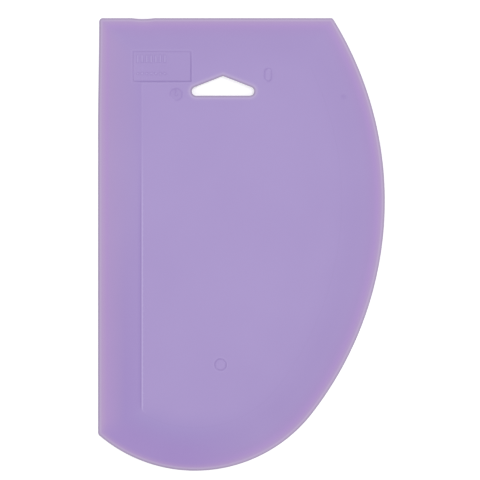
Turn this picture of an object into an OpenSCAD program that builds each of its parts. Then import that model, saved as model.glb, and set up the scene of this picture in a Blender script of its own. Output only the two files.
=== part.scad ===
// Flexible bench and dough scraper, moulded as one D-shaped plate.
// The plate lies on its flat back at z = 0. +Y points to the hang slot and +X to the curved edge.
// The origin is under the middle of the bounding box. Feature places are measured from the
// straight edge, rightwards, and from the top edge, downwards.

/* [Plate] */
// Length, from the bottom of the curve to the top edge
plate_l = 200; // [190:1:215]
// Width, from the straight edge to the widest point of the curve
plate_w = 126.7; // [118:0.1:131]
// Thickness of the flat panel in the middle
panel_t = 2.2; // [1.8:0.1:3]
// Thickness of the rim, where the bevels run out
rim_t = 0.8; // [0.5:0.1:1.2]

/* [Curved edge] */
// Radius of the long arc down the side
side_r = 153; // [148:1:160]
// Distance of the widest point below the top edge
side_drop = 80.8; // [76:0.1:86]
// Radius of the tighter arc round the bottom
nose_r = 65.3; // [63:0.1:70]

/* [Corners] */
// Rounding where the straight edge meets the top edge
top_left_r = 1.5; // [0.6:0.1:6]
// Rounding where the side arc meets the top edge
top_right_r = 1; // [0.6:0.1:6]
// Rounding where the straight edge meets the nose arc
bottom_left_r = 1.8; // [0.6:0.1:6]

/* [Bevels] */
// Width of the bevel along the straight edge
straight_bevel_w = 19.1; // [14:0.1:24]
// Width of the bevel along the top edge
top_bevel_w = 18.4; // [14:0.1:21]
// Width of the bevel along both arcs
curve_bevel_w = 19.4; // [14:0.1:24]

/* [Hang slot] */
// Width of the slot over its round ends
slot_w = 27.6; // [24:0.1:32]
// Height of the slot at its middle
slot_h = 8.7; // [7:0.1:11]
// Radius of the round ends
slot_end_r = 2; // [1.2:0.1:2.6]
// Radius of the peak that sits on a hook
slot_peak_r = 0.5; // [0.3:0.1:2]
// Place of the peak, from the straight edge
slot_x = 55.2; // [54:0.1:58]
// Place of the peak, from the top edge
slot_y = 25.6; // [24:0.1:32]

/* [Maker's pad] */
// Width of the pad
pad_w = 26; // [20:0.1:28]
// Height of the pad
pad_h = 13.7; // [12:0.1:14]
// Place of the pad's left side, from the straight edge
pad_x = 15.2; // [14:0.1:18]
// Place of the pad's top side, from the top edge
pad_y = 14.5; // [12:0.1:15]
// Depth of the pad's face below the panel
pad_sink = 0.2; // [0.1:0.05:0.3]
// Number of plain bars on the pad, and of the dots below them
pad_marks = 7; // [3:1:8]

/* [Mould marks] */
// Diameter of the date ring
date_d = 5.8; // [4:0.1:6]
// Diameter of the ejector ring
pin_d = 5.4; // [3:0.1:8]
// Depth of every sunk mark
mark_depth = 0.15; // [0.1:0.05:0.25]
// Height of every raised mark
mark_height = 0.15; // [0.1:0.05:0.2]
// Depth of the dip in the top edge where the gate was trimmed
gate_depth = 0.35; // [0.1:0.05:0.5]

/* [Hidden] */
$fn = 180;

plastic_colour = [0.67, 0.6, 0.8];
clear = 1; // how far a cutting tool reaches past what it cuts
far = 2 * plate_l;

function toward(angle) = [cos(angle), sin(angle)];

// Lines that bound the plate
left_x = -plate_w / 2;
right_x = plate_w / 2;
top_y = plate_l / 2;
bottom_y = -plate_l / 2;

// The two arcs touch without a kink, because the nose arc's centre lies on a radius of the side
// arc. Both are drawn in a frame of their own, whose x axis runs from one centre to the other
// and on to the join.
side_c = [right_x - side_r, top_y - side_drop];
centres_apart = side_r - nose_r;
join_angle = -asin((side_c[1] - bottom_y - nose_r) / centres_apart);
nose_c = side_c + centres_apart * toward(join_angle);

// Where a round runs into a line or an arc, it reaches past it by a hair, so that the two are
// sure to meet
hair = 0.001;

// Centres of the three corner rounds
top_left_c = [left_x + top_left_r, top_y - top_left_r];
top_right_y = top_y - top_right_r;
top_right_reach = sqrt((side_r - top_right_r + hair) ^ 2 - (top_right_y - side_c[1]) ^ 2);
top_right_c = [side_c[0] + top_right_reach, top_right_y];
bottom_left_x = left_x + bottom_left_r;
bottom_left_reach = sqrt((nose_r - bottom_left_r + hair) ^ 2 - (bottom_left_x - nose_c[0]) ^ 2);
bottom_left_c = [bottom_left_x, nose_c[1] - bottom_left_reach];

// Sweep of the side arc's bevel, from the join to well past the top edge
side_sweep = 95;

// Hang slot: a line touches the end round and the peak round on the side that faces up
slot_at = [left_x + slot_x, top_y - slot_y];
slot_end_c = [slot_w / 2 - slot_end_r, slot_end_r - slot_h];
slot_peak_c = [0, -slot_peak_r];
slot_run = slot_peak_c - slot_end_c;
slot_roof_angle = atan2(slot_run[1], slot_run[0]) - acos((slot_end_r - slot_peak_r) / norm(slot_run));

// Maker's pad
pad_z = panel_t - pad_sink;
pad_at = [left_x + pad_x, top_y - pad_y];
pad_line_w = 0.4;
pad_mark_inset = 1.8; // from the pad's left side to the first mark, and from its top to the bars
pad_mark_pitch = 2;
pad_bar = [1, 3.4];
pad_dot_r = 0.6;
pad_dot_drop = 10; // from the pad's top side to the middle of the dots

// Mould marks
date_at = [left_x + 34.5, top_y - 33.7];
date_hub_r = 0.55;
date_hand = [0.5, 2.1];
pin_at = [left_x + 54.1, top_y - 153.1];
ring_line_w = 0.4;
oval_at = [left_x + 75.1, top_y - 25.1];
oval_w = 3.4;
oval_h = 6;

// Gate dip in the top edge: a shallow slice of a wide round
gate_w = 9.7;
gate_x = left_x + 19.95;
gate_r = gate_w ^ 2 / (8 * gate_depth) + gate_depth / 2;

// What a corner loses to its round of radius r: the wedge outside the round, between the
// directions in which the two edges face.
module corner_waste(centre, r, face_1, face_2) {
    reach = 2 * r;
    middle = (face_1 + face_2) / 2;
    translate(centre)
        difference() {
            polygon([[0, 0], reach * toward(face_1), reach * toward(middle), reach * toward(face_2)]);
            circle(r);
        }
}

module in_curve_frame() {
    translate(side_c) rotate(join_angle) children();
}

// The area inside both arcs. The side arc ends at the join, and the square fills in between the
// straight edge and the nose arc's centre.
module inside_curve() {
    in_curve_frame() {
        intersection() {
            circle(side_r);
            translate([-far, 0]) square([2 * far, far]);
        }
        translate([centres_apart, 0]) circle(nose_r);
    }
    translate([left_x - clear, nose_c[1]])
        square([nose_c[0] - left_x + clear, side_c[1] - nose_c[1]]);
}

module outline() {
    top_right_face = atan2(top_right_c[1] - side_c[1], top_right_c[0] - side_c[0]);
    bottom_left_face = atan2(bottom_left_c[1] - nose_c[1], bottom_left_c[0] - nose_c[0]);
    difference() {
        intersection() {
            inside_curve();
            translate([left_x, bottom_y - clear]) square([plate_w + clear, plate_l + clear]);
        }
        corner_waste(top_left_c, top_left_r, 90, 180);
        corner_waste(top_right_c, top_right_r, top_right_face, 90);
        corner_waste(bottom_left_c, bottom_left_r, 180, 360 + bottom_left_face);
    }
}

// Section of the material that a bevel removes. x runs outwards from the rim, and y is height.
module bevel_section(bevel_w) {
    rise = (panel_t - rim_t) / bevel_w;
    inward = bevel_w + 3 * clear;
    top = rim_t + inward * rise;
    polygon([[-inward, top], [clear, rim_t - clear * rise], [clear, top]]);
}

module straight_bevel() {
    translate([left_x, top_y + clear, 0])
        rotate([90, 0, 0])
            linear_extrude(plate_l + 2 * clear)
                rotate([0, 180, 0]) bevel_section(straight_bevel_w);
}

module top_bevel() {
    translate([left_x - clear, top_y, 0])
        rotate([90, 0, 90])
            linear_extrude(plate_w + 2 * clear)
                bevel_section(top_bevel_w);
}

module arc_bevel(r, sweep) {
    rotate_extrude(angle = sweep)
        translate([r, 0]) bevel_section(curve_bevel_w);
}

// The two arc bevels meet in one plane, at the join. The nose arc's takes a half turn, which
// past the corner stays outside the straight bevel.
module curve_bevel() {
    in_curve_frame() {
        arc_bevel(side_r, side_sweep);
        translate([centres_apart, 0]) rotate(180) arc_bevel(nose_r, 180);
    }
}

module hang_slot() {
    roof = toward(slot_roof_angle);
    end_touch = slot_end_c + (slot_end_r - hair) * roof;
    peak_touch = slot_peak_c + (slot_peak_r - hair) * roof;
    end_low = [slot_end_c[0], -slot_h];
    right = [end_low, end_touch, peak_touch];
    left = [for (i = [2:-1:0]) [-right[i][0], right[i][1]]];
    translate([slot_at[0], slot_at[1], -clear])
        linear_extrude(panel_t + 2 * clear) {
            polygon(concat(right, left));
            translate(slot_peak_c) circle(slot_peak_r);
            for (side = [-1, 1])
                translate([side * slot_end_c[0], slot_end_c[1]]) circle(slot_end_r);
        }
}

// A block with the pad's outline, grown by border on all sides, between two heights
module pad_block(border, z_low, z_high) {
    translate([pad_at[0] - border, pad_at[1] - pad_h - border, z_low])
        cube([pad_w + 2 * border, pad_h + 2 * border, z_high - z_low]);
}

module pad_border() {
    difference() {
        pad_block(0, pad_z - mark_depth, panel_t + clear);
        pad_block(-pad_line_w, 0, panel_t + 2 * clear);
    }
}

// Plain marks that stand on the pad: a row of bars, and a row of dots below it
module pad_marks_raised() {
    for (i = [0:pad_marks - 1])
        translate([pad_at[0] + pad_mark_inset + i * pad_mark_pitch, pad_at[1], rim_t]) {
            translate([0, -pad_mark_inset - pad_bar[1], 0])
                cube([pad_bar[0], pad_bar[1], pad_z + mark_height - rim_t]);
            translate([pad_bar[0] / 2, -pad_dot_drop, 0])
                cylinder(r = pad_dot_r, h = pad_z + mark_height - rim_t);
        }
}

// A sunk ring of outside radius r
module ring_mark(at, r) {
    translate([at[0], at[1], panel_t - mark_depth])
        difference() {
            cylinder(r = r, h = clear);
            translate([0, 0, -clear]) cylinder(r = r - ring_line_w, h = 3 * clear);
        }
}

// A sunk disc in which a hub and one hand stay standing
module date_mark() {
    translate([date_at[0], date_at[1], panel_t - mark_depth])
        difference() {
            cylinder(d = date_d, h = clear);
            translate([0, 0, -clear]) cylinder(r = date_hub_r, h = 3 * clear);
            translate([-date_hand[0] / 2, 0, -clear]) cube([date_hand[0], date_hand[1], 3 * clear]);
        }
}

module oval_area(w, h) {
    for (side = [-1, 1])
        translate([0, side * (h - w) / 2]) circle(d = w);
    square([w, h - w], center = true);
}

module oval_mark() {
    translate([oval_at[0], oval_at[1], panel_t - mark_depth])
        linear_extrude(clear)
            difference() {
                oval_area(oval_w, oval_h);
                oval_area(oval_w - 2 * ring_line_w, oval_h - 2 * ring_line_w);
            }
}

module gate_dip() {
    translate([gate_x, top_y + gate_r - gate_depth, -clear])
        cylinder(r = gate_r, h = panel_t + 2 * clear);
}

module scraper_plate() {
    color(plastic_colour) {
        difference() {
            union() {
                difference() {
                    linear_extrude(panel_t) outline();
                    straight_bevel();
                    top_bevel();
                    curve_bevel();
                }
                pad_block(0, rim_t / 2, pad_z);
            }
            pad_block(0, pad_z, panel_t + clear);
            pad_border();
            hang_slot();
            date_mark();
            ring_mark(pin_at, pin_d / 2);
            oval_mark();
            gate_dip();
        }
        pad_marks_raised();
    }
}

scraper_plate();
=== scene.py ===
"""Looks of the bench scraper, a D-shaped plate of translucent lilac plastic, round its CAD part.

The plate's skin is one closed mesh. Its front is a height over the plan: flat panel, bevelled
border, hang slot and mould marks, each with rounded edges. Plan sizes and heights are in
millimetres, and meshes, lights and camera are in metres.
"""

import math
from collections import namedtuple

import bmesh
import bpy
import numpy as np
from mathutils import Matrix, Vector
from mathutils.geometry import delaunay_2d_cdt


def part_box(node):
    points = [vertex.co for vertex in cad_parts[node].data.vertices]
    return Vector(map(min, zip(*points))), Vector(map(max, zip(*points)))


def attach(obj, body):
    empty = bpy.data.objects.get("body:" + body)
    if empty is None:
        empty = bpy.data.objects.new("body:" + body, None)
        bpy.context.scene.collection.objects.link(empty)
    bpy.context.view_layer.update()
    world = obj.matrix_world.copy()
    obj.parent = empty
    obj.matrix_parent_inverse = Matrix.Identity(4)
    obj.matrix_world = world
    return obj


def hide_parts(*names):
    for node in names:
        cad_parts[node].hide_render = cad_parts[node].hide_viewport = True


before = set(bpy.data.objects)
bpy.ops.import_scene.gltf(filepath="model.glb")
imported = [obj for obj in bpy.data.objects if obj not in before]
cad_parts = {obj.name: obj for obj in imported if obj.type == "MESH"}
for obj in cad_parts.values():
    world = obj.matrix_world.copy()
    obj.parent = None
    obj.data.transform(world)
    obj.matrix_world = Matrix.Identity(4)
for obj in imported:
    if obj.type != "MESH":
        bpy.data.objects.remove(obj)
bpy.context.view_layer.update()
NODE = "scraper_plate"
SLOT_NAME = "lilac_plastic"
MM = 0.001

# Sizes that the frame gives
BOX_LOW, BOX_HIGH = (np.array(corner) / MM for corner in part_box(NODE))
LEFT_X, BOTTOM_Y = BOX_LOW[:2]
RIGHT_X, TOP_Y, TOP_Z = BOX_HIGH

# Bevelled border: the plate thins to its rim along the straight, top and curved edges
RIM_T = 0.8
BEVEL_W = {"left": 19.1, "top": 18.4, "curve": 19.4}
CREASE_SOFT = {"left": 0.4, "top": 7.0, "curve": 6.0}  # half the width of the bend into the panel
CREASE_LOOPS = (-0.4, 0.0, 0.4)
MITRE_SOFT = 0.03  # how far two bevels melt into each other, as a height
RIM_ROUND = 0.3
BACK_ROUND = 0.15
SLOT_ROUND = 0.25

# A fine bead along the crease of the straight bevel. It is worn down in the upper half.
BEAD_H = 0.035
BEAD_HALF_W = 0.55
BEAD_TOP_SHARE = 0.1
BEAD_FADE_Y = (6.0, 48.0)
BEAD_END_TOP = 3.0  # how far from its ends the bead reaches its full height
BEAD_END_BOTTOM = 2.0
PANEL_Z = TOP_Z - BEAD_H

# Curved edge: a long arc down the side and a tighter one round the bottom, meeting without a kink
SIDE_R = 153.0
SIDE_DROP = 80.8
NOSE_R = 65.3
SIDE_C = np.array([RIGHT_X - SIDE_R, TOP_Y - SIDE_DROP])
JOIN_ANGLE = -math.asin((SIDE_C[1] - BOTTOM_Y - NOSE_R) / (SIDE_R - NOSE_R))
JOIN_DIR = np.array([math.cos(JOIN_ANGLE), math.sin(JOIN_ANGLE)])
NOSE_C = SIDE_C + (SIDE_R - NOSE_R) * JOIN_DIR
CORNER_R = {"top_left": 1.5, "top_right": 1.0, "bottom_left": 1.8}

# The dip in the top edge where the gate was trimmed, a slice of a wide round
GATE_W = 9.7
GATE_DEPTH = 0.35
GATE_X = LEFT_X + 19.95
GATE_FLAT_FROM = 1.0  # further in than this, outlines have a dip of FLAT_DEPTH only
FLAT_DEPTH = 0.001

# Hang slot: the outline round three circles, a small one at the peak and one at each end
SLOT_AT = np.array([LEFT_X + 55.2, TOP_Y - 25.6])
SLOT_W = 27.6
SLOT_H = 8.7
SLOT_END_R = 2.0
SLOT_PEAK_R = 0.5
SLOT_PEAK_C = np.array([0, -SLOT_PEAK_R])
SLOT_END_C = np.array([SLOT_W / 2 - SLOT_END_R, SLOT_END_R - SLOT_H])
SLOT_RUN = SLOT_PEAK_C - SLOT_END_C
SLOT_ROOF_ANGLE = math.atan2(SLOT_RUN[1], SLOT_RUN[0]) - math.acos(
    (SLOT_END_R - SLOT_PEAK_R) / np.hypot(*SLOT_RUN)
)
ROOF_NORMAL = np.array([math.cos(SLOT_ROOF_ANGLE), math.sin(SLOT_ROOF_ANGLE)])

# Maker's pad, with plain bars and dots, and the mould marks
MARK_DEPTH = 0.15
MARK_H = 0.15
LINE_W = 0.4
STEP_W = 0.3  # width in plan of the rounded step at a mark's edge
DISH_W = 0.9  # the same for the date mark, which is a shallow dish
WORN_W = 0.6  # and for the oval and the date mark's hand, which are worn
EDGE_R = 0.2
TOP_LOOP = -0.4  # where a raised mark has one more loop of points on its top
PAD_Z = TOP_Z - 0.2
PAD_AT = np.array([LEFT_X + 15.2, TOP_Y - 14.5])
PAD_SIZE = np.array([26.0, 13.7])
PAD_MARKS = 7
PAD_PITCH = 2.0
PAD_INSET = 1.8
BAR_SIZE = np.array([1.0, 3.4])
DOT_R = 0.6
DOT_DROP = 10.0
DATE_AT = np.array([LEFT_X + 34.5, TOP_Y - 33.7])
DATE_R = 2.9
HUB_R = 0.55
HAND_SIZE = np.array([0.5, 2.1])
PIN_AT = np.array([LEFT_X + 54.1, TOP_Y - 153.1])
PIN_R = 2.7
OVAL_AT = np.array([LEFT_X + 75.1, TOP_Y - 25.1])
OVAL_SIZE = np.array([3.4, 6.0])

# A pit in the right bevel, as left by a grain of dust in the mould
PIT_AT = np.array([LEFT_X + 108.9, TOP_Y - 34.9])
PIT_R = 0.75
PIT_DEPTH = 0.09

# Towards the top corner the straight edge draws in a little, as moulded plates do
DRAW_IN = 0.5
DRAW_IN_FROM = TOP_Y - 50
DRAW_IN_REACH = 15.0

# Mesh: points along each stretch of an outline, loops across the rounds, and spacings
OUTLINE_POINTS = {
    "nose": 108,
    "side": 186,
    "right of gate": 84,
    "gate": 12,
    "left of gate": 12,
    "straight": 180,
    "corner": 10,
}
SLOT_POINTS = {"peak": 5, "roof": 24, "end": 16, "floor": 20}
MITRE_POINTS = 20
MITRE_FROM = 0.16  # where a mitre's line of points starts, as a share of the bevels' widths
RIM_STEPS = 6
RIM_RINGS = (0.5, 0.8, 1.2, 1.8, 2.6)
SLOT_STEPS = 4
SLOT_RINGS = (0.5, 1.0)
BACK_STEPS = 3
STEP_LOOPS = (-0.5, -0.17, 0.17, 0.5)  # across a mark's step, in shares of its width
STAMP_STEP = 0.3
FILL_STEP = 1.6
BACK_STEP = 4.0
BACK_RING = 0.7
MERGE_WITHIN = 1e-5
SLOPE_STEP = 0.004  # how far apart slopes are measured

# How far the painted glow, shade and highlights of the edges, creases and marks reach into the
# plate
GLOW_REACH = 46.0
CREASE_REACH = 2.0
MARK_REACH = 2.0
MITRE_BLEND = 9.0
CURVE_CREASE = 0.2  # how strongly the painted shade line along the curved bevel's crease shows
CURVE_CREASE_FADE = 6.0  # how far below the top bevel it shows in full
# Painted shade lines (the DARK ones) and painted highlight lines (the LIGHT ones) beside creases
# and marks: their distance on the panel's side, and half their width
DARK_AT = (-0.35, 0.3)
LIGHT_AT = (0.54, 0.3)
MARK_DARK_AT = (-0.2, 0.45)
MARK_LIGHT_AT = (0.45, 0.4)
CREASE_TONE = 0.7
SUNK_TONE = 0.12
RAISED_TONE = 0.28
# How rough the pad's and the date mark's floors are, and how much painted shade darkens them
PAD_TEXTURE = 0.2
DATE_TEXTURE = 0.4
# Where the painted shade towards the bottom begins and where it is complete, down the edge and at
# the nose
LOW_EDGE_Y = (30, -80)
LOW_NOSE_X = (10, -28)
LOW_NOSE_Y = (-30, -60)


# ---------------------------------------------------------------- distances and heights in plan


def smooth_step(x):
    x = np.clip(x, 0, 1)
    return x * x * (3 - 2 * x)


def passed(x, first, last):
    """How much of the way from first to last lies behind x: 0 at first and 1 at last."""
    return (x - first) / (last - first)


def in_corner(p, centre, radius, first, last, d):
    """Distance d, but measured from the corner's round where p lies beyond both its ends."""
    away = p - centre
    angle = np.arctan2(away[:, 1], away[:, 0])
    turn = (angle - first) % (2 * np.pi)
    inside = turn < (last - first) % (2 * np.pi)
    return np.where(inside, radius - np.hypot(*away.T), d)


def edge_distances(p):
    """How far each point lies inwards from the straight, top and curved edges."""
    side = SIDE_R - np.hypot(*(p - SIDE_C).T)
    nose = NOSE_R - np.hypot(*(p - NOSE_C).T)
    above_join = (p - SIDE_C) @ np.array([-JOIN_DIR[1], JOIN_DIR[0]]) > 0
    curve = np.where(above_join, side, nose)
    return {"left": p[:, 0] - LEFT_X, "top": TOP_Y - p[:, 1], "curve": curve}


def corner_centre(name, inset_left=0.0, inset_top=0.0, inset_curve=0.0, radius=0.0):
    """Centre of a corner's round of this radius, between two edges moved inwards."""
    if name == "top_left":
        return np.array([LEFT_X + inset_left + radius, TOP_Y - inset_top - radius])
    if name == "top_right":
        y = TOP_Y - inset_top - radius
        reach = math.sqrt((SIDE_R - inset_curve - radius) ** 2 - (y - SIDE_C[1]) ** 2)
        return np.array([SIDE_C[0] + reach, y])
    x = LEFT_X + inset_left + radius
    reach = math.sqrt((NOSE_R - inset_curve - radius) ** 2 - (x - NOSE_C[0]) ** 2)
    return np.array([x, NOSE_C[1] - reach])


def direction(v):
    return math.atan2(v[1], v[0])


def gate_radius(depth):
    """Radius of the round whose slice, as wide as the gate dip, has this depth."""
    return GATE_W**2 / (8 * depth) + depth / 2


def rim_distance(p):
    """Distance from the plate's rim, positive inside, with the corner rounds and the gate dip."""
    d = np.min(list(edge_distances(p).values()), axis=0)
    gate_r = gate_radius(GATE_DEPTH)
    gate_c = np.array([GATE_X, TOP_Y + gate_r - GATE_DEPTH])
    d = np.minimum(d, np.hypot(*(p - gate_c).T) - gate_r)
    for name, r in CORNER_R.items():
        c = corner_centre(name, radius=r)
        first, last = corner_faces(name, c)
        d = in_corner(p, c, r, first, last, d)
    return d


def corner_faces(name, centre):
    """Directions in which the two edges that meet at a corner face, counterclockwise."""
    if name == "top_left":
        return math.pi / 2, math.pi
    if name == "top_right":
        return direction(centre - SIDE_C), math.pi / 2
    return math.pi, direction(centre - NOSE_C) + 2 * math.pi


def slot_distance(p):
    """Distance from the hang slot, positive in the plate."""
    q = p - SLOT_AT
    q[:, 0] = np.abs(q[:, 0])
    along = np.array([ROOF_NORMAL[1], -ROOF_NORMAL[0]])
    roof = (q - SLOT_PEAK_C) @ ROOF_NORMAL - SLOT_PEAK_R
    d = np.maximum(roof, -SLOT_H - q[:, 1])
    run = (q - SLOT_PEAK_C) @ along
    at_end = (run > (SLOT_END_C - SLOT_PEAK_C) @ along) & (q[:, 0] > SLOT_END_C[0])
    d = np.where(run < 0, np.hypot(*(q - SLOT_PEAK_C).T) - SLOT_PEAK_R, d)
    return np.where(at_end, np.hypot(*(q - SLOT_END_C).T) - SLOT_END_R, d)


# A level area with a rounded outline, and the width of the step round it. Circles and ovals are
# ones whose radius is half a side.
Stamp = namedtuple("Stamp", "centre size radius level step", defaults=(STEP_W,))


def stamp_distance(p, stamp):
    q = np.abs(p - stamp.centre) - stamp.size / 2 + stamp.radius
    outside = np.hypot(*np.maximum(q, 0).T)
    return outside + np.minimum(np.max(q, axis=1), 0) - stamp.radius


def disc(at, r, level, step=STEP_W):
    return Stamp(at, np.array([2 * r, 2 * r]), r, level, step)


def grown(stamp, by):
    radius = max(stamp.radius + by, EDGE_R / 4)
    return stamp._replace(size=stamp.size + 2 * by, radius=radius)


SUNK = PANEL_Z - MARK_DEPTH
PAD = Stamp(PAD_AT + PAD_SIZE * [0.5, -0.5], PAD_SIZE, EDGE_R, PAD_Z - MARK_DEPTH)
DATE = disc(DATE_AT, DATE_R - DISH_W / 4, SUNK, DISH_W)
PIN = disc(PIN_AT, PIN_R, SUNK)
OVAL = Stamp(OVAL_AT, OVAL_SIZE, OVAL_SIZE[0] / 2, SUNK, WORN_W)


def pad_stamps():
    for i in range(PAD_MARKS):
        x = PAD_AT[0] + PAD_INSET + i * PAD_PITCH + BAR_SIZE[0] / 2
        bar_at = np.array([x, PAD_AT[1] - PAD_INSET - BAR_SIZE[1] / 2])
        yield Stamp(bar_at, BAR_SIZE, EDGE_R, PAD_Z + MARK_H)
        yield disc(np.array([x, PAD_AT[1] - DOT_DROP]), DOT_R, PAD_Z + MARK_H)


RAISED = list(pad_stamps())
ARROW = (
    disc(DATE_AT, HUB_R, PANEL_Z, WORN_W),
    Stamp(DATE_AT + HAND_SIZE * [0, 0.5], HAND_SIZE, EDGE_R, PANEL_Z, WORN_W),
)
STAMPS = [
    PAD,
    grown(PAD, -LINE_W)._replace(level=PAD_Z),
    *RAISED,
    DATE,
    *ARROW,
    PIN,
    grown(PIN, -LINE_W)._replace(level=PANEL_Z),
    OVAL,
    grown(OVAL, -LINE_W)._replace(level=PANEL_Z),
]


def nearest(p, stamps):
    """Distance from the nearest of the stamps, negative inside it."""
    return np.min([stamp_distance(p, stamp) for stamp in stamps], axis=0)


def rough_shaded_floor_share(p):
    """How rough the floors of the pad and the date mark are, and how much painted shade darkens
    them; zero elsewhere.
    """
    pad, date = (smooth_step(0.5 - stamp_distance(p, stamp) / stamp.step) for stamp in (PAD, DATE))
    return np.maximum(PAD_TEXTURE * pad, DATE_TEXTURE * date)


def soft_ramp(x, soft):
    """Zero below 0 and x above it, with the bend at 0 rounded."""
    return np.where(np.abs(x) < soft, (x + soft) ** 2 / (4 * soft), np.maximum(x, 0))


def soft_max(a, b):
    """The larger of two drops, melted together where they are nearly equal and not zero."""
    soft = np.minimum(MITRE_SOFT, np.maximum(a, b) / 2) + 1e-9
    overlap = np.maximum(soft - np.abs(a - b), 0)
    return np.maximum(a, b) + overlap**2 / (4 * soft)


def low_share(p, straight):
    """How far each point lies towards the bottom, down the straight edge and round the nose: how
    much painted shade it gets.
    """
    x, y = p.T
    down_edge = np.clip(passed(y, *LOW_EDGE_Y), 0, 1)
    round_nose = smooth_step(passed(x, *LOW_NOSE_X)) * smooth_step(passed(y, *LOW_NOSE_Y))
    return round_nose + straight * (down_edge - round_nose)


def bead_strength(edges):
    """How clearly the straight bevel's crease shows, as the bead and as its painted shade and
    highlight lines: hardly at all near the top.
    """
    low, high = BEAD_FADE_Y
    down = smooth_step((edges["top"] - TOP_Y + high) / (high - low))
    ends = smooth_step((edges["top"] - BEVEL_W["top"]) / BEAD_END_TOP)
    ends *= smooth_step((edges["curve"] - BEVEL_W["curve"]) / BEAD_END_BOTTOM)
    return ends * (BEAD_TOP_SHARE + (1 - BEAD_TOP_SHARE) * down)


def bead_height(edges):
    u = (edges["left"] - BEVEL_W["left"]) / BEAD_HALF_W
    return BEAD_H * bead_strength(edges) * np.maximum(1 - u * u, 0) ** 2


def crease_lines(edges):
    """Distance into the panel from the nearest crease, and how strong its painted shade line and
    its painted highlight line are.
    """
    left, top, curve = (edges[name] - BEVEL_W[name] for name in ("left", "top", "curve"))
    light = np.where(left < curve, bead_strength(edges), 0)
    dark = np.where(left < curve, light, CURVE_CREASE * smooth_step(top / CURVE_CREASE_FADE))
    return np.minimum(left, curve), dark, light


def face_height(p):
    """Height of the front over the plan, before the rim and the slot are rounded off."""
    edges = edge_distances(p)
    drop = np.zeros(len(p))
    for name, width in BEVEL_W.items():
        slope = (PANEL_Z - RIM_T) / width
        drop = soft_max(drop, slope * soft_ramp(width - edges[name], CREASE_SOFT[name]))
    z = PANEL_Z - drop + bead_height(edges)
    for stamp in STAMPS:
        z += (stamp.level - z) * smooth_step(0.5 - stamp_distance(p, stamp) / stamp.step)
    pit = np.maximum(1 - np.sum((p - PIT_AT) ** 2, axis=1) / PIT_R**2, 0)
    return z - PIT_DEPTH * pit**2


def round_drop(d, r):
    """How far a rounded edge of radius r lies below its face, at distance d from the wall."""
    inward = np.clip(r - d, 0, r)
    return r - np.sqrt(r * r - inward**2)


def front_height(p):
    rounded = round_drop(rim_distance(p), RIM_ROUND) + round_drop(slot_distance(p), SLOT_ROUND)
    return face_height(p) - rounded


def gradient(field, p):
    """Slope of a field of the plan, by central differences."""
    shifts = (np.array([SLOPE_STEP, 0]), np.array([0, SLOPE_STEP]))
    return np.stack([(field(p + s) - field(p - s)) / (2 * SLOPE_STEP) for s in shifts], axis=1)


def outward(field, p):
    """Level directions that point from the plate into the air, where field falls off."""
    g = -gradient(field, p)
    g /= np.maximum(np.hypot(*g.T), 1e-9)[:, None]
    return np.column_stack([g, np.zeros(len(p))])


def front_normals(p):
    slope = gradient(face_height, p)
    n = np.column_stack([-slope, np.ones(len(p))])
    for field, r in ((rim_distance, RIM_ROUND), (slot_distance, SLOT_ROUND)):
        lean = np.arccos(np.clip(1 - field(p) / r, 0, 1))[:, None]
        n = np.where(lean < np.pi / 2, outward(field, p) * np.cos(lean) + n * np.sin(lean), n)
    return n / np.linalg.norm(n, axis=1)[:, None]


# ---------------------------------------------------------------- outlines


def arc(centre, r, first, last, count):
    a = np.linspace(first, last, count, endpoint=False)
    return centre + r * np.column_stack([np.cos(a), np.sin(a)])


def line(first, last, count):
    return np.linspace(first, last, count, endpoint=False)


def gate_arc(inset, count):
    """The gate dip's arc, from right to left, and half its width."""
    depth = GATE_DEPTH if inset < GATE_FLAT_FROM else FLAT_DEPTH
    r = gate_radius(depth)
    half_w = math.sqrt((r + inset) ** 2 - (r - depth + inset) ** 2)
    turn = math.asin(half_w / (r + inset))
    centre = np.array([GATE_X, TOP_Y + r - depth])
    return arc(centre, r + inset, -math.pi / 2 + turn, -math.pi / 2 - turn, count), half_w


def outline(left, top, curve):
    """The plate's outline, counterclockwise, moved inwards from its three edges.

    Every such outline has the same number of points, so two of them join into a strip.
    """
    insets = {
        "top_left": max(left, top),
        "top_right": max(top, curve),
        "bottom_left": max(left, curve),
    }
    rounds = {name: max(CORNER_R[name] - inset, 0) for name, inset in insets.items()}
    centres = {name: corner_centre(name, left, top, curve, r) for name, r in rounds.items()}
    faces = {name: corner_faces(name, c) for name, c in centres.items()}

    count = OUTLINE_POINTS

    def corner(name):
        return arc(centres[name], rounds[name], *faces[name], count["corner"])

    def top_line(first, last, part):
        return line((first, TOP_Y - top), (last, TOP_Y - top), count[part])

    x = LEFT_X + left
    nose_start = faces["bottom_left"][1] - 2 * math.pi
    gate, half_gate = gate_arc(top, count["gate"])
    parts = [
        arc(NOSE_C, NOSE_R - curve, nose_start, JOIN_ANGLE, count["nose"]),
        arc(SIDE_C, SIDE_R - curve, JOIN_ANGLE, faces["top_right"][0], count["side"]),
        corner("top_right"),
        top_line(centres["top_right"][0], GATE_X + half_gate, "right of gate"),
        gate,
        top_line(GATE_X - half_gate, centres["top_left"][0], "left of gate"),
        corner("top_left"),
        line((x, centres["top_left"][1]), (x, centres["bottom_left"][1]), count["straight"]),
        corner("bottom_left"),
    ]
    return np.concatenate(parts)


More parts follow.
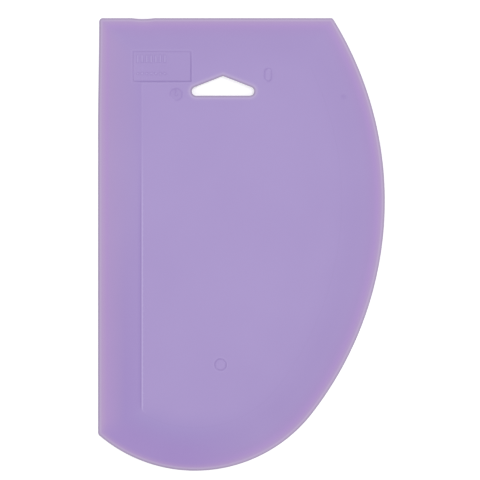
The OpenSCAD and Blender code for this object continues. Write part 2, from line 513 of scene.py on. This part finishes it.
def slot_outline(grow):
    """The hang slot's outline, clockwise seen from the front, grown on all sides."""
    roof, down = SLOT_ROOF_ANGLE, -math.pi / 2
    mirror = np.array([-1, 1])
    count = SLOT_POINTS
    roof_top = SLOT_PEAK_C + (SLOT_PEAK_R + grow) * ROOF_NORMAL
    roof_foot = SLOT_END_C + (SLOT_END_R + grow) * ROOF_NORMAL
    half_peak = arc(SLOT_PEAK_C, SLOT_PEAK_R + grow, math.pi / 2, roof, count["peak"])
    roof_line = line(roof_top, roof_foot, count["roof"])
    end = arc(SLOT_END_C, SLOT_END_R + grow, roof, down, count["end"])
    floor_y = -SLOT_H - grow
    floor_line = line((SLOT_END_C[0], floor_y), (0, floor_y), count["floor"])
    right = np.concatenate([half_peak, roof_line, end, floor_line])
    left = np.concatenate([right[1:], [(0, floor_y)]])[::-1] * mirror
    return SLOT_AT + np.concatenate([right, left])


def stamp_outline(stamp):
    """The stamp's outline, counterclockwise. Its straight sides have points twice as far apart."""
    r = stamp.radius
    half = stamp.size / 2 - r
    turns = max(3, round(r * math.pi / 2 / STAMP_STEP))
    loop = []
    for i, (sx, sy) in enumerate(((1, 1), (-1, 1), (-1, -1), (1, -1))):
        corner = stamp.centre + half * [sx, sy]
        loop.append(arc(corner, r, i * math.pi / 2, (i + 1) * math.pi / 2, turns))
        run = 2 * half[i % 2]
        if run > 1e-6:
            angle = (i + 1) * math.pi / 2
            start = corner + r * np.array([math.cos(angle), math.sin(angle)])
            along = np.array([-math.sin(angle), math.cos(angle)])
            loop.append(line(start, start + run * along, max(1, round(run / (2 * STAMP_STEP)))))
    return np.concatenate(loop)


# ---------------------------------------------------------------- mesh


class Skin:
    """Points, their normals and the faces of one closed mesh."""

    def __init__(self):
        self.points = np.zeros((0, 3))
        self.normals = np.zeros((0, 3))
        self.faces = []

    def add(self, points, normals):
        """Adds points and returns their numbers."""
        start = len(self.points)
        self.points = np.concatenate([self.points, points])
        self.normals = np.concatenate([self.normals, normals])
        return np.arange(start, len(self.points))

    def add_faces(self, numbers, corners):
        self.faces += [tuple(int(numbers[c]) for c in face) for face in corners]

    def join(self, upper, lower):
        """Fills the strip between two loops of equally many points."""
        pairs = zip(upper, lower, np.roll(lower, -1), np.roll(upper, -1))
        self.faces += [tuple(int(n) for n in quad) for quad in pairs]


def without_repeats(loop):
    """The loop without points that lie on the one before them."""
    return loop[np.hypot(*(loop - np.roll(loop, 1, axis=0)).T) > 1e-6]


def triangulate(loops, paths, extra):
    """Triangles over a plan. Loops and paths become edges; extra points only become corners.

    The first two loops are the outer outline and the hole. Returns the points, the triangles as
    seen from the front, and which points are the outer outline's and the hole's, in order.
    """
    points, edges = [], []
    for chain, closed in [(c, True) for c in loops] + [(c, False) for c in paths]:
        first = sum(map(len, points))
        count = len(chain)
        runs = count if closed else count - 1
        edges += [(first + i, first + (i + 1) % count) for i in range(runs)]
        points.append(chain)
    given = np.concatenate([*points, extra])
    found, _, triangles, origins, _, _ = delaunay_2d_cdt(
        [Vector(p) for p in given], edges, [], 0, MERGE_WITHIN, True
    )
    plan = np.array([tuple(v) for v in found])
    place = np.full(len(given), -1)
    for number, sources in enumerate(origins):
        for source in sources:
            place[source] = number
    outer = place[: len(loops[0])]
    hole = place[len(loops[0]) : len(loops[0]) + len(loops[1])]
    triangles = np.array(triangles)
    for void in (outer, hole):
        triangles = triangles[~np.isin(triangles, void).all(axis=1)]
    a, b, c = (plan[triangles[:, k]] for k in range(3))
    area = (b - a)[:, 0] * (c - a)[:, 1] - (b - a)[:, 1] * (c - a)[:, 0]
    triangles[area < 0] = triangles[area < 0][:, ::-1]
    return plan, triangles, outer, hole


def round_insets(r, steps):
    """How far the loops of a rounded edge lie in from its wall."""
    return [r * (1 - math.cos(math.pi / 2 * k / steps)) for k in range(steps + 1)]


def bevel_outline(share, shift=0.0):
    """The outline at a share of every bevel's width."""
    return outline(*(share * width + shift for width in BEVEL_W.values()))


def mitres():
    """The lines where two bevels meet, from near a corner of the plate to one of the panel."""
    shares = np.linspace(MITRE_FROM, 1, MITRE_POINTS, endpoint=False)
    widths = np.array(list(BEVEL_W.values()))

    def mitre(name):
        return np.array([corner_centre(name, *(share * widths)) for share in shares])

    return [mitre(name) for name in CORNER_R]


def hex_grid(step):
    rows = np.arange(BOTTOM_Y, TOP_Y, step * math.sqrt(3) / 2)
    columns = np.arange(LEFT_X, RIGHT_X, step)
    return np.array([(x + step / 2 * (j % 2), y) for j, y in enumerate(rows) for x in columns])


def clear_of_details(p):
    """Which points lie well away from everything that has loops of its own."""
    keep = (rim_distance(p) > RIM_RINGS[-1] + FILL_STEP / 2) & (slot_distance(p) > FILL_STEP)
    for stamp in STAMPS:
        keep &= np.abs(stamp_distance(p, stamp)) > FILL_STEP / 3
    for path in mitres():
        gaps = np.hypot(*(p[:, None] - path[None]).transpose(2, 0, 1))
        keep &= gaps.min(axis=1) > FILL_STEP / 2
    return keep


def fill_points():
    """Points that follow the bevels' contours, and an even grid over the panel."""
    rings = round(BEVEL_W["top"] / FILL_STEP)
    contours = [bevel_outline(k / rings)[::2] for k in range(2, rings)]
    grid = hex_grid(FILL_STEP)
    edges = edge_distances(grid)
    on_panel = np.all([edges[name] > width + FILL_STEP for name, width in BEVEL_W.items()], axis=0)
    points = np.concatenate([*contours, grid[on_panel]])
    return points[clear_of_details(points)]


def add_front(skin):
    insets = [*round_insets(RIM_ROUND, RIM_STEPS), *RIM_RINGS]
    rims = [outline(t, t, t) for t in insets]
    slots = [slot_outline(t) for t in (*round_insets(SLOT_ROUND, SLOT_STEPS), *SLOT_RINGS)]
    creases = [bevel_outline(1, shift) for shift in CREASE_LOOPS]
    steps = [stamp_outline(grown(s, s.step * share)) for s in STAMPS for share in STEP_LOOPS]
    tops = [stamp_outline(grown(s, TOP_LOOP)) for s in RAISED if min(s.size) > -2 * TOP_LOOP]
    loops = [rims[0], slots[0], *rims[1:], *slots[1:], *creases, *steps, *tops]
    loops = [without_repeats(loop) for loop in loops]
    plan, triangles, outer, hole = triangulate(loops, mitres(), fill_points())
    numbers = skin.add(np.column_stack([plan, front_height(plan)]), front_normals(plan))
    skin.add_faces(numbers, triangles)
    return numbers[outer], numbers[hole]


def add_wall(skin, top, outline_at, field):
    """The wall below a loop of the front, rounded where it meets the back."""
    out = outward(field, skin.points[top][:, :2])
    above = top
    for k in range(BACK_STEPS + 1):
        lean = math.pi / 2 * k / BACK_STEPS
        plan = outline_at(BACK_ROUND * (1 - math.cos(lean)))
        z = np.full(len(plan), BACK_ROUND * (1 - math.sin(lean)))
        normals = out * math.cos(lean) - np.array([0, 0, math.sin(lean)])
        below = skin.add(np.column_stack([plan, z]), normals)
        skin.join(above, below)
        above = below
    return above


def add_back(skin, outer, hole):
    grid = hex_grid(BACK_STEP)
    clear = (rim_distance(grid) > BACK_STEP / 2) & (slot_distance(grid) > BACK_STEP / 2)
    loops = [skin.points[outer][:, :2], skin.points[hole][:, :2]]
    loops += [outline(*[BACK_RING] * 3), slot_outline(BACK_RING)]
    plan, triangles, outer_places, hole_places = triangulate(loops, [], grid[clear])
    numbers = np.full(len(plan), -1)
    numbers[outer_places] = outer
    numbers[hole_places] = hole
    inner = numbers < 0
    points = np.column_stack([plan[inner], np.zeros(inner.sum())])
    numbers[inner] = skin.add(points, np.tile([0.0, 0.0, -1.0], (len(points), 1)))
    skin.add_faces(numbers, triangles[:, ::-1])


def draw_in(points):
    """Moves the top of the straight edge in, less and less away from it."""
    rise = smooth_step((points[:, 1] - DRAW_IN_FROM) / (TOP_Y - DRAW_IN_FROM))
    near = smooth_step(1 - (points[:, 0] - LEFT_X) / DRAW_IN_REACH)
    points[:, 0] += DRAW_IN * rise * near


def build_plate(material):
    skin = Skin()
    outer, hole = add_front(skin)
    outer = add_wall(skin, outer, lambda t: outline(t, t, t), rim_distance)
    hole = add_wall(skin, hole, slot_outline, slot_distance)
    add_back(skin, outer, hole)

    plan = skin.points[:, :2].copy()
    draw_in(skin.points)
    mesh = bpy.data.meshes.new("scraper_skin")
    mesh.from_pydata((skin.points * MM).tolist(), [], skin.faces)
    mesh.shade_smooth()
    mesh.normals_split_custom_set_from_vertices(skin.normals.tolist())
    edges = edge_distances(plan)
    crease, crease_painted_shade, crease_painted_highlight = crease_lines(edges)
    beyond_mitre = edges["left"] - np.minimum(edges["top"], edges["curve"])
    straight = smooth_step(0.5 - beyond_mitre / MITRE_BLEND)
    values = {
        "rim_distance": np.clip(rim_distance(plan), 0, GLOW_REACH),
        "slot_distance": np.clip(slot_distance(plan), 0, GLOW_REACH),
        # where the painted shade and highlight lines of the creases and marks fall, and how strong
        # they are
        "crease_distance": np.clip(crease, -CREASE_REACH, CREASE_REACH),
        "crease_painted_shade": crease_painted_shade,
        "crease_painted_highlight": crease_painted_highlight,
        "sunk_distance": np.clip(nearest(plan, [PAD, PIN]), -MARK_REACH, MARK_REACH),
        "raised_distance": np.clip(nearest(plan, [*RAISED, *ARROW]), -MARK_REACH, MARK_REACH),
        "rough_shaded_floor": rough_shaded_floor_share(plan),
        "straight": straight,
        "low": low_share(plan, straight),
    }
    for name, value in values.items():
        attribute = mesh.attributes.new(name, "FLOAT", "POINT")
        attribute.data.foreach_set("value", value.astype(np.float32))
    mesh.materials.append(material)
    plate = bpy.data.objects.new("scraper_skin", mesh)
    bpy.context.collection.objects.link(plate)
    return plate


# ---------------------------------------------------------------- materials


MIX_A, MIX_B, MIX_RESULT = 6, 7, 2  # the colour sockets of a Mix node


class Nodes:
    """Short calls for building a material's node tree."""

    def __init__(self, name):
        self.material = bpy.data.materials.new(name)
        self.material.use_nodes = True
        self.tree = self.material.node_tree
        self.shader = self.tree.nodes["Principled BSDF"]

    def node(self, kind, inputs=(), **settings):
        made = self.tree.nodes.new("ShaderNode" + kind)
        for key, value in settings.items():
            setattr(made, key, value)
        for key, value in dict(inputs).items():
            self.put(made.inputs[key], value)
        return made

    def put(self, socket, value):
        if isinstance(value, bpy.types.NodeSocket):
            self.tree.links.new(value, socket)
        else:
            socket.default_value = value

    def math(self, operation, a, b=0.0):
        return self.node("Math", {0: a, 1: b}, operation=operation).outputs[0]

    def attribute(self, name):
        return self.node("Attribute", attribute_name=name).outputs["Fac"]

    def noise(self, scale, detail=2):
        """Noise over the object's own coordinates, which are in metres."""
        place = self.node("TexCoord").outputs["Object"]
        inputs = {"Vector": place, "Scale": scale, "Detail": detail}
        return self.node("TexNoise", inputs).outputs["Fac"]

    def spread(self, value, low, high, to_low, to_high):
        inputs = {0: value, 1: low, 2: high, 3: to_low, 4: to_high}
        return self.node("MapRange", inputs).outputs[0]

    def ramp(self, value, stops):
        made = self.node("ValToRGB", {"Fac": value})
        elements = made.color_ramp.elements
        while len(elements) < len(stops):
            elements.new(1.0)
        for element, (place, colour) in zip(elements, stops):
            element.position = place
            element.color = (*colour, 1)
        return made.outputs["Color"]

    def mix(self, factor, a, b):
        inputs = {"Factor": factor, MIX_A: a, MIX_B: b}
        return self.node("Mix", inputs, data_type="RGBA").outputs[MIX_RESULT]


def linear(colour):
    """An sRGB colour, 0 to 255, as the scene-linear values that nodes take."""
    def convert(c):
        c /= 255
        return c / 12.92 if c <= 0.04045 else ((c + 0.055) / 1.055) ** 2.4

    return tuple(convert(c) for c in colour)


BODY = linear((156, 135, 192))
# Painted shade and painted highlight for the lines beside creases and marks. The shade also darkens
# the rough floors, and the light tint also gives the faint clouds.
PAINTED_SHADE = (*linear((135, 115, 172)), 1)
PAINTED_HIGHLIGHT_AND_CLOUD_TINT = (*linear((186, 170, 216)), 1)

# Colours by distance from the rim: a thin line of painted shade and one of painted highlight, then
# a painted glow that fades into the body. It differs along the straight edge, and towards the
# bottom it is darker, as painted shade.
RIM_SHADE_AND_HIGHLIGHT = (
    (0.0, linear((150, 132, 164))),
    (0.5, linear((158, 142, 175))),
    (1.0, linear((178, 159, 196))),
)
SIDE_SHADE_AND_HIGHLIGHT = (
    (0.0, linear((152, 135, 168))),
    (0.5, linear((166, 150, 182))),
    (1.0, linear((180, 160, 197))),
)
SIDE_PAINTED_GLOW = (
    *SIDE_SHADE_AND_HIGHLIGHT,
    (1.6, linear((168, 143, 190))),
    (3.4, linear((163, 134, 193))),
    (5.5, linear((157, 133, 190))),
    (9.0, linear((156, 135, 191))),
    (20.0, linear((155, 134, 191))),
    (30.0, linear((155, 134, 191))),
    (44.0, BODY),
)
NOSE_PAINTED_GLOW_AND_SHADE = (
    *RIM_SHADE_AND_HIGHLIGHT,
    (1.6, linear((164, 137, 189))),
    (3.2, linear((154, 128, 190))),
    (9.0, linear((153, 128, 190))),
    (17.0, linear((152, 132, 191))),
    (26.0, BODY),
)
STRAIGHT_PAINTED_GLOW = (
    *RIM_SHADE_AND_HIGHLIGHT,
    (1.6, linear((172, 147, 191))),
    (4.0, linear((166, 136, 193))),
    (5.5, linear((163, 139, 190))),
    (9.0, linear((161, 138, 191))),
    (16.0, linear((158, 137, 192))),
    (19.0, BODY),
)
STRAIGHT_LOW_PAINTED_GLOW_AND_SHADE = (
    *RIM_SHADE_AND_HIGHLIGHT,
    (1.6, linear((172, 146, 190))),
    (4.0, linear((164, 135, 191))),
    (9.0, linear((155, 131, 188))),
    (12.0, linear((150, 127, 189))),
    (18.0, linear((153, 131, 191))),
    (19.6, BODY),
)
# Round the slot: a line of painted shade, one of painted highlight, then a painted glow into the
# body
SLOT_SHADE_HIGHLIGHT_AND_GLOW = (
    (0.0, linear((148, 132, 166))),
    (0.45, linear((150, 135, 170))),
    (1.0, linear((172, 153, 198))),
    (1.7, linear((160, 140, 192))),
    (2.6, BODY),
)


SLOT_REACH = (1.8, 2.6)  # the slot's painted shade, highlight and glow end between these distances from it

# The plastic's finish, and the painted shade on the rough floors. Noise scales are per metre.
NOISE_RANGE = (0.3, 0.7)
FLOW_RANGE = (0.35, 0.65)
PAINTED_FLOOR_SHADE = 0.17
FLOW_SCALE = 22
FLOW_TONE = 0.05
GRAIN_SCALE = 2500
GRAIN_STRENGTH = 0.2
GRAIN_DEPTH = 0.03 * MM
GLOSS_SCALE = 60
ROUGHNESS = (0.345, 0.355)
TEXTURE_ROUGHNESS = 0.06
PLASTIC_IOR = 1.49


def edge_colour(n, name, colours):
    stops = [(d / GLOW_REACH, colour) for d, colour in colours]
    return n.ramp(n.math("DIVIDE", n.attribute(name), GLOW_REACH), stops)


def hump(n, value, centre, half_width):
    """One at the centre, falling to zero at half_width on both sides."""
    off = n.math("ABSOLUTE", n.math("SUBTRACT", value, centre))
    return n.spread(off, 0, half_width, 1, 0)


def rim_colour(n):
    """The body's colour, with painted shade and highlight lines and a painted glow along the rim
    and the slot, and painted shade towards the bottom.
    """
    side, nose, straight, straight_low = (
        edge_colour(n, "rim_distance", colours)
        for colours in (SIDE_PAINTED_GLOW, NOSE_PAINTED_GLOW_AND_SHADE, STRAIGHT_PAINTED_GLOW, STRAIGHT_LOW_PAINTED_GLOW_AND_SHADE)
    )
    # low sets how much of the painted shade towards the bottom each point gets
    low = n.attribute("low")
    rim = n.mix(n.attribute("straight"), n.mix(low, side, nose), n.mix(low, straight, straight_low))
    by_slot = n.spread(n.attribute("slot_distance"), *SLOT_REACH, 1, 0)
    return n.mix(by_slot, rim, edge_colour(n, "slot_distance", SLOT_SHADE_HIGHLIGHT_AND_GLOW))


def with_painted_lines(n, colour):
    """The colour with a painted shade line and a painted highlight line along each crease and round
    each mark.
    """
    crease = n.attribute("crease_distance")
    crease_painted_shade = n.math("MULTIPLY", n.attribute("crease_painted_shade"), CREASE_TONE)
    crease_painted_highlight = n.math("MULTIPLY", n.attribute("crease_painted_highlight"), CREASE_TONE)
    sunk = n.attribute("sunk_distance")
    raised = n.math("MULTIPLY", n.attribute("raised_distance"), -1)
    for distance, at, tone, shade in (
        (crease, DARK_AT, crease_painted_shade, PAINTED_SHADE),
        (crease, LIGHT_AT, crease_painted_highlight, PAINTED_HIGHLIGHT_AND_CLOUD_TINT),
        (sunk, MARK_DARK_AT, SUNK_TONE, PAINTED_SHADE),
        (sunk, MARK_LIGHT_AT, SUNK_TONE, PAINTED_HIGHLIGHT_AND_CLOUD_TINT),
        (raised, MARK_LIGHT_AT, RAISED_TONE, PAINTED_HIGHLIGHT_AND_CLOUD_TINT),
    ):
        colour = n.mix(n.math("MULTIPLY", hump(n, distance, *at), tone), colour, shade)
    return colour


def lilac_plastic():
    """Satin plastic: faint clouds in its colour, a fine grain, and rougher floors in the marks that
    are also painted darker as shade. Painted glow, shade and highlights run along the rim, the
    slot, the creases and the marks.
    """
    n = Nodes(SLOT_NAME)
    rough_shaded_floor = n.attribute("rough_shaded_floor")
    # painted glow, shade and highlights along the rim, the slot, the creases and the marks
    colour = with_painted_lines(n, rim_colour(n))
    # painted shade on the rough floors of the pad and the date mark
    colour = n.mix(n.math("MULTIPLY", rough_shaded_floor, PAINTED_FLOOR_SHADE), colour, PAINTED_SHADE)
    flow = n.spread(n.noise(FLOW_SCALE), *FLOW_RANGE, 0, FLOW_TONE)
    n.put(n.shader.inputs["Base Color"], n.mix(flow, colour, PAINTED_HIGHLIGHT_AND_CLOUD_TINT))

    grain = {"Height": n.noise(GRAIN_SCALE), "Strength": GRAIN_STRENGTH, "Distance": GRAIN_DEPTH}
    n.put(n.shader.inputs["Normal"], n.node("Bump", grain).outputs["Normal"])
    roughness = n.spread(n.noise(GLOSS_SCALE, detail=3), *NOISE_RANGE, *ROUGHNESS)
    added = n.math("MULTIPLY", rough_shaded_floor, TEXTURE_ROUGHNESS)
    n.put(n.shader.inputs["Roughness"], n.math("ADD", roughness, added))
    n.shader.inputs["IOR"].default_value = PLASTIC_IOR
    return n.material


# ---------------------------------------------------------------- floor, light and camera

FLOOR_R = 14.0
FLOOR_GAP = 0.05 * MM
FLOOR_GREYS = (0.75, 0.76)
FLOOR_NOISE_SCALE = 3
FLOOR_ROUGHNESS = 0.9
FLOOR_GLOW = 0.4
SKY_LIGHT = 0.68
HORIZON_LIGHT = 1.0
HORIZON_HEIGHTS = (0.02, 0.3)  # one fades into the other between these sines of elevation


def floor_material():
    n = Nodes("pale_floor")
    tone = n.spread(n.noise(FLOOR_NOISE_SCALE), *NOISE_RANGE, 0, 1)
    greys = ((grey, grey, grey, 1) for grey in FLOOR_GREYS)
    n.put(n.shader.inputs["Base Color"], n.mix(tone, *greys))
    n.shader.inputs["Roughness"].default_value = FLOOR_ROUGHNESS
    n.shader.inputs["Emission Color"].default_value = (1, 1, 1, 1)
    n.shader.inputs["Emission Strength"].default_value = FLOOR_GLOW
    return n.material


def build_floor():
    mesh = bpy.data.meshes.new("floor")
    shape = bmesh.new()
    bmesh.ops.create_circle(shape, cap_ends=True, radius=FLOOR_R, segments=96)
    bmesh.ops.translate(shape, verts=shape.verts, vec=(0, 0, -FLOOR_GAP))
    shape.to_mesh(mesh)
    shape.free()
    mesh.materials.append(floor_material())
    floor = bpy.data.objects.new("floor", mesh)
    bpy.context.collection.objects.link(floor)
    return floor


def light_room():
    """An even white room, a little brighter near the horizon."""
    world = bpy.data.worlds.new("studio")
    world.use_nodes = True
    tree = world.node_tree
    sky_place = tree.nodes.new("ShaderNodeTexCoord")
    split = tree.nodes.new("ShaderNodeSeparateXYZ")
    level = tree.nodes.new("ShaderNodeMapRange")
    level.inputs["From Min"].default_value = HORIZON_HEIGHTS[0]
    level.inputs["From Max"].default_value = HORIZON_HEIGHTS[1]
    level.inputs["To Min"].default_value = HORIZON_LIGHT
    level.inputs["To Max"].default_value = SKY_LIGHT
    background = tree.nodes["Background"]
    background.inputs["Color"].default_value = (1, 1, 1, 1)
    tree.links.new(sky_place.outputs["Generated"], split.inputs[0])
    tree.links.new(split.outputs["Z"], level.inputs["Value"])
    tree.links.new(level.outputs["Result"], background.inputs["Strength"])
    bpy.context.scene.world = world


def softbox(name, at, size, watts):
    """A square lamp that faces the plate."""
    light = bpy.data.lights.new(name, "AREA")
    light.shape = "SQUARE"
    light.size = size
    light.energy = watts
    lamp = bpy.data.objects.new(name, light)
    lamp.location = at
    lamp.rotation_euler = (-Vector(at)).to_track_quat("-Z", "Y").to_euler()
    bpy.context.collection.objects.link(lamp)


# The camera looks straight down, with a long lens. Its middle is a little off the plate's.
VIEW_W = 212.06 * MM
VIEW_AT = Vector((-0.64, 1.96, TOP_Z)) * MM
CAMERA_H = 3.2
SENSOR = 36.0


def place_camera():
    camera = bpy.data.cameras.new("camera")
    camera.sensor_width = SENSOR
    camera.lens = SENSOR * CAMERA_H / VIEW_W
    camera.clip_end = 100
    eye = bpy.data.objects.new("camera", camera)
    eye.location = VIEW_AT + Vector((0, 0, CAMERA_H))
    bpy.context.collection.objects.link(eye)
    bpy.context.scene.camera = eye


# ---------------------------------------------------------------- scene

plate = build_plate(lilac_plastic())
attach(plate, "root")
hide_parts(NODE)
build_floor()

light_room()
softbox("overhead", at=(0.03, 0.05, 5.0), size=1.03, watts=21.7)
softbox("key", at=(0.9, 1.2, 2.2), size=0.9, watts=16)
softbox("fill", at=(-1.5, -1.0, 1.2), size=1.1, watts=8)
place_camera()
bpy.context.scene.view_settings.view_transform = "Standard"
